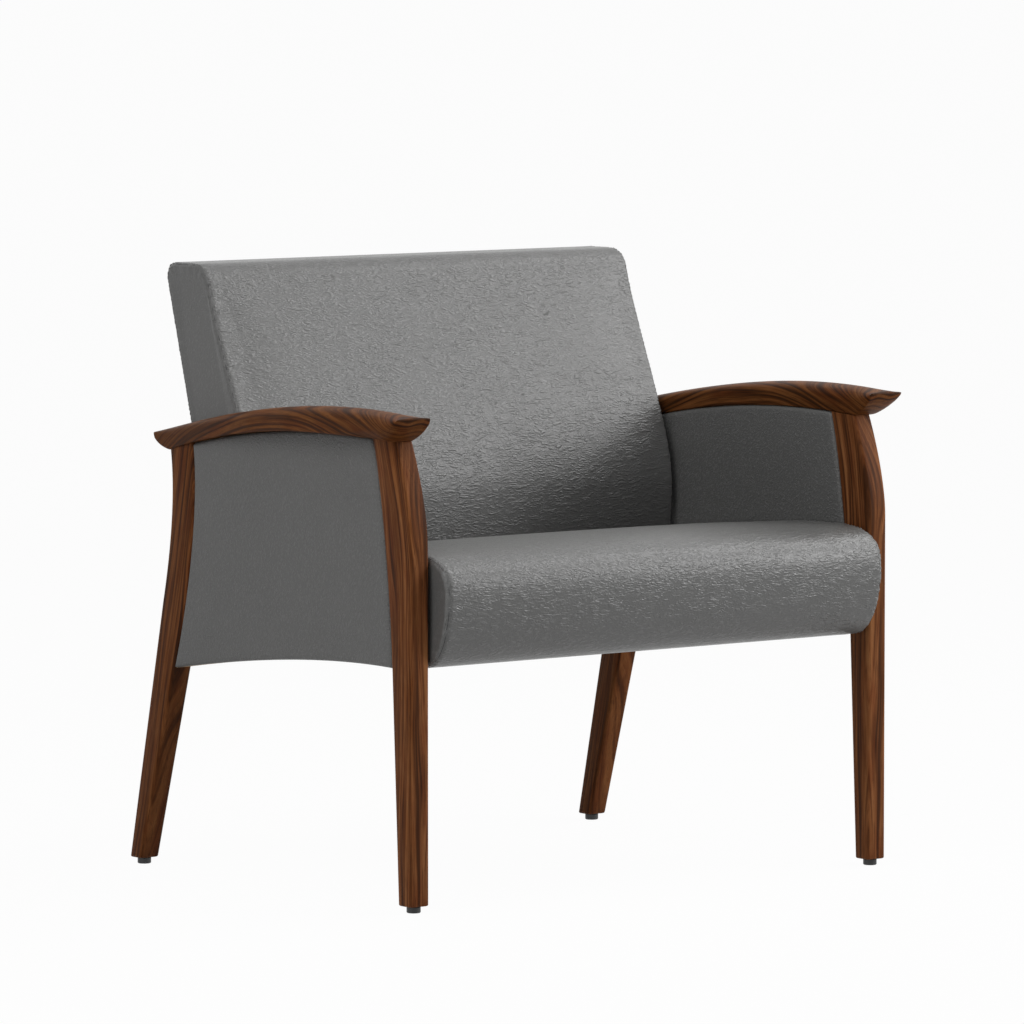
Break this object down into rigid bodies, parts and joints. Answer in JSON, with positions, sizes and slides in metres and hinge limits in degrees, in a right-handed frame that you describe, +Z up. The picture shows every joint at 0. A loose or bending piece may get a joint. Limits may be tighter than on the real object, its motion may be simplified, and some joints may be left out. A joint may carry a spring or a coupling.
{
  "type": "bariatric chair",
  "caption": "Extra-wide guest chair with wooden legs and arm caps, upholstered arm panels, a deep seat cushion and a raked back on levelling glides.",
  "frame": {"origin": "on the floor, under the middle of the chair's width and depth", "axes": "+X towards the sitter's left, -Y the way the sitter faces, +Z up"},
  "size_m": [0.88, 0.6946, 0.843],
  "materials": {
    "walnut": "walnut-stained beech under satin lacquer",
    "beech": "planed, unfinished, hidden",
    "plywood": "sanded plywood, hidden",
    "panel_vinyl": "fine-grained coated upholstery, dull satin",
    "cushion_vinyl": "wrinkle-grained coated upholstery, satin",
    "foam": "open-cell foam, hidden",
    "dust_cloth": "thin black non-woven cloth",
    "steel_paint": "powder-coated steel tube, hidden",
    "steel_zinc": "bright zinc plate",
    "glide_nylon": "moulded black nylon",
    "stud_steel": "zinc-plated stud"
  },
  "bodies": {
    "chair": {"front_leg_left": "walnut", "front_leg_right": "walnut", "rear_leg_left": "walnut", "rear_leg_right": "walnut", "arm_cap_left": "walnut", "arm_cap_right": "walnut", "arm_top_rail_left": "beech", "arm_top_rail_right": "beech", "arm_low_rail_left": "beech", "arm_low_rail_right": "beech", "seat_front_rail": "beech", "seat_rear_rail": "beech", "seat_side_rail_left": "beech", "seat_side_rail_right": "beech", "seat_corner_blocks": "beech", "back_stile_left": "beech", "back_stile_right": "beech", "back_top_rail": "beech", "back_low_rail": "beech", "rail_dowels": "beech", "cap_dowels": "beech", "arm_core_left": "plywood", "arm_core_right": "plywood", "seat_deck": "plywood", "back_board": "plywood", "outer_arm_pad_left": "panel_vinyl", "outer_arm_pad_right": "panel_vinyl", "inner_arm_pad_left": "panel_vinyl", "inner_arm_pad_right": "panel_vinyl", "back_rear_panel": "panel_vinyl", "seat_cover": "cushion_vinyl", "back_cover": "cushion_vinyl", "seat_foam": "foam", "back_foam": "foam", "seat_dust_cover": "dust_cloth", "seat_front_beam": "steel_paint", "seat_rear_beam": "steel_paint", "seat_spacers": "steel_zinc", "back_spacers": "steel_zinc", "seat_bolts": "steel_zinc", "back_bolts": "steel_zinc", "seat_inserts": "steel_zinc", "back_inserts": "steel_zinc", "cap_screws": "steel_zinc", "glide_inserts": "steel_zinc"},
    "glide_foot_front_left": {"glide_pad_front_left": "glide_nylon"},
    "glide_screw_front_left": {"glide_stud_front_left": "stud_steel"},
    "glide_foot_front_right": {"glide_pad_front_right": "glide_nylon"},
    "glide_screw_front_right": {"glide_stud_front_right": "stud_steel"},
    "glide_foot_rear_left": {"glide_pad_rear_left": "glide_nylon"},
    "glide_screw_rear_left": {"glide_stud_rear_left": "stud_steel"},
    "glide_foot_rear_right": {"glide_pad_rear_right": "glide_nylon"},
    "glide_screw_rear_right": {"glide_stud_rear_right": "stud_steel"}
  },
  "joints": [
    {"name": "glide_front_left_level", "type": "slide", "parent": "chair", "child": "glide_foot_front_left", "axis": [0, 0, -1], "range_m": [0, 0.0101]},
    {"name": "glide_front_left_turn", "type": "hinge", "parent": "glide_foot_front_left", "child": "glide_screw_front_left", "pos_m": [0.398, -0.297, 0.003], "axis": [0, 0, -1], "range_deg": [0, 2880]},
    {"name": "glide_front_right_level", "type": "slide", "parent": "chair", "child": "glide_foot_front_right", "axis": [0, 0, -1], "range_m": [0, 0.0101]},
    {"name": "glide_front_right_turn", "type": "hinge", "parent": "glide_foot_front_right", "child": "glide_screw_front_right", "pos_m": [-0.398, -0.297, 0.003], "axis": [0, 0, -1], "range_deg": [0, 2880]},
    {"name": "glide_rear_left_level", "type": "slide", "parent": "chair", "child": "glide_foot_rear_left", "axis": [0, 0, -1], "range_m": [0, 0.0101]},
    {"name": "glide_rear_left_turn", "type": "hinge", "parent": "glide_foot_rear_left", "child": "glide_screw_rear_left", "pos_m": [0.398, 0.334, 0.003], "axis": [0, 0, -1], "range_deg": [0, 2880]},
    {"name": "glide_rear_right_level", "type": "slide", "parent": "chair", "child": "glide_foot_rear_right", "axis": [0, 0, -1], "range_m": [0, 0.0101]},
    {"name": "glide_rear_right_turn", "type": "hinge", "parent": "glide_foot_rear_right", "child": "glide_screw_rear_right", "pos_m": [-0.398, 0.334, 0.003], "axis": [0, 0, -1], "range_deg": [0, 2880]}
  ],
  "couplings": [
    {"joint": "glide_front_left_level", "follows": "glide_front_left_turn", "m_per_rad": 0.00019894},
    {"joint": "glide_front_right_level", "follows": "glide_front_right_turn", "m_per_rad": 0.00019894},
    {"joint": "glide_rear_left_level", "follows": "glide_rear_left_turn", "m_per_rad": 0.00019894},
    {"joint": "glide_rear_right_level", "follows": "glide_rear_right_turn", "m_per_rad": 0.00019894}
  ]
}
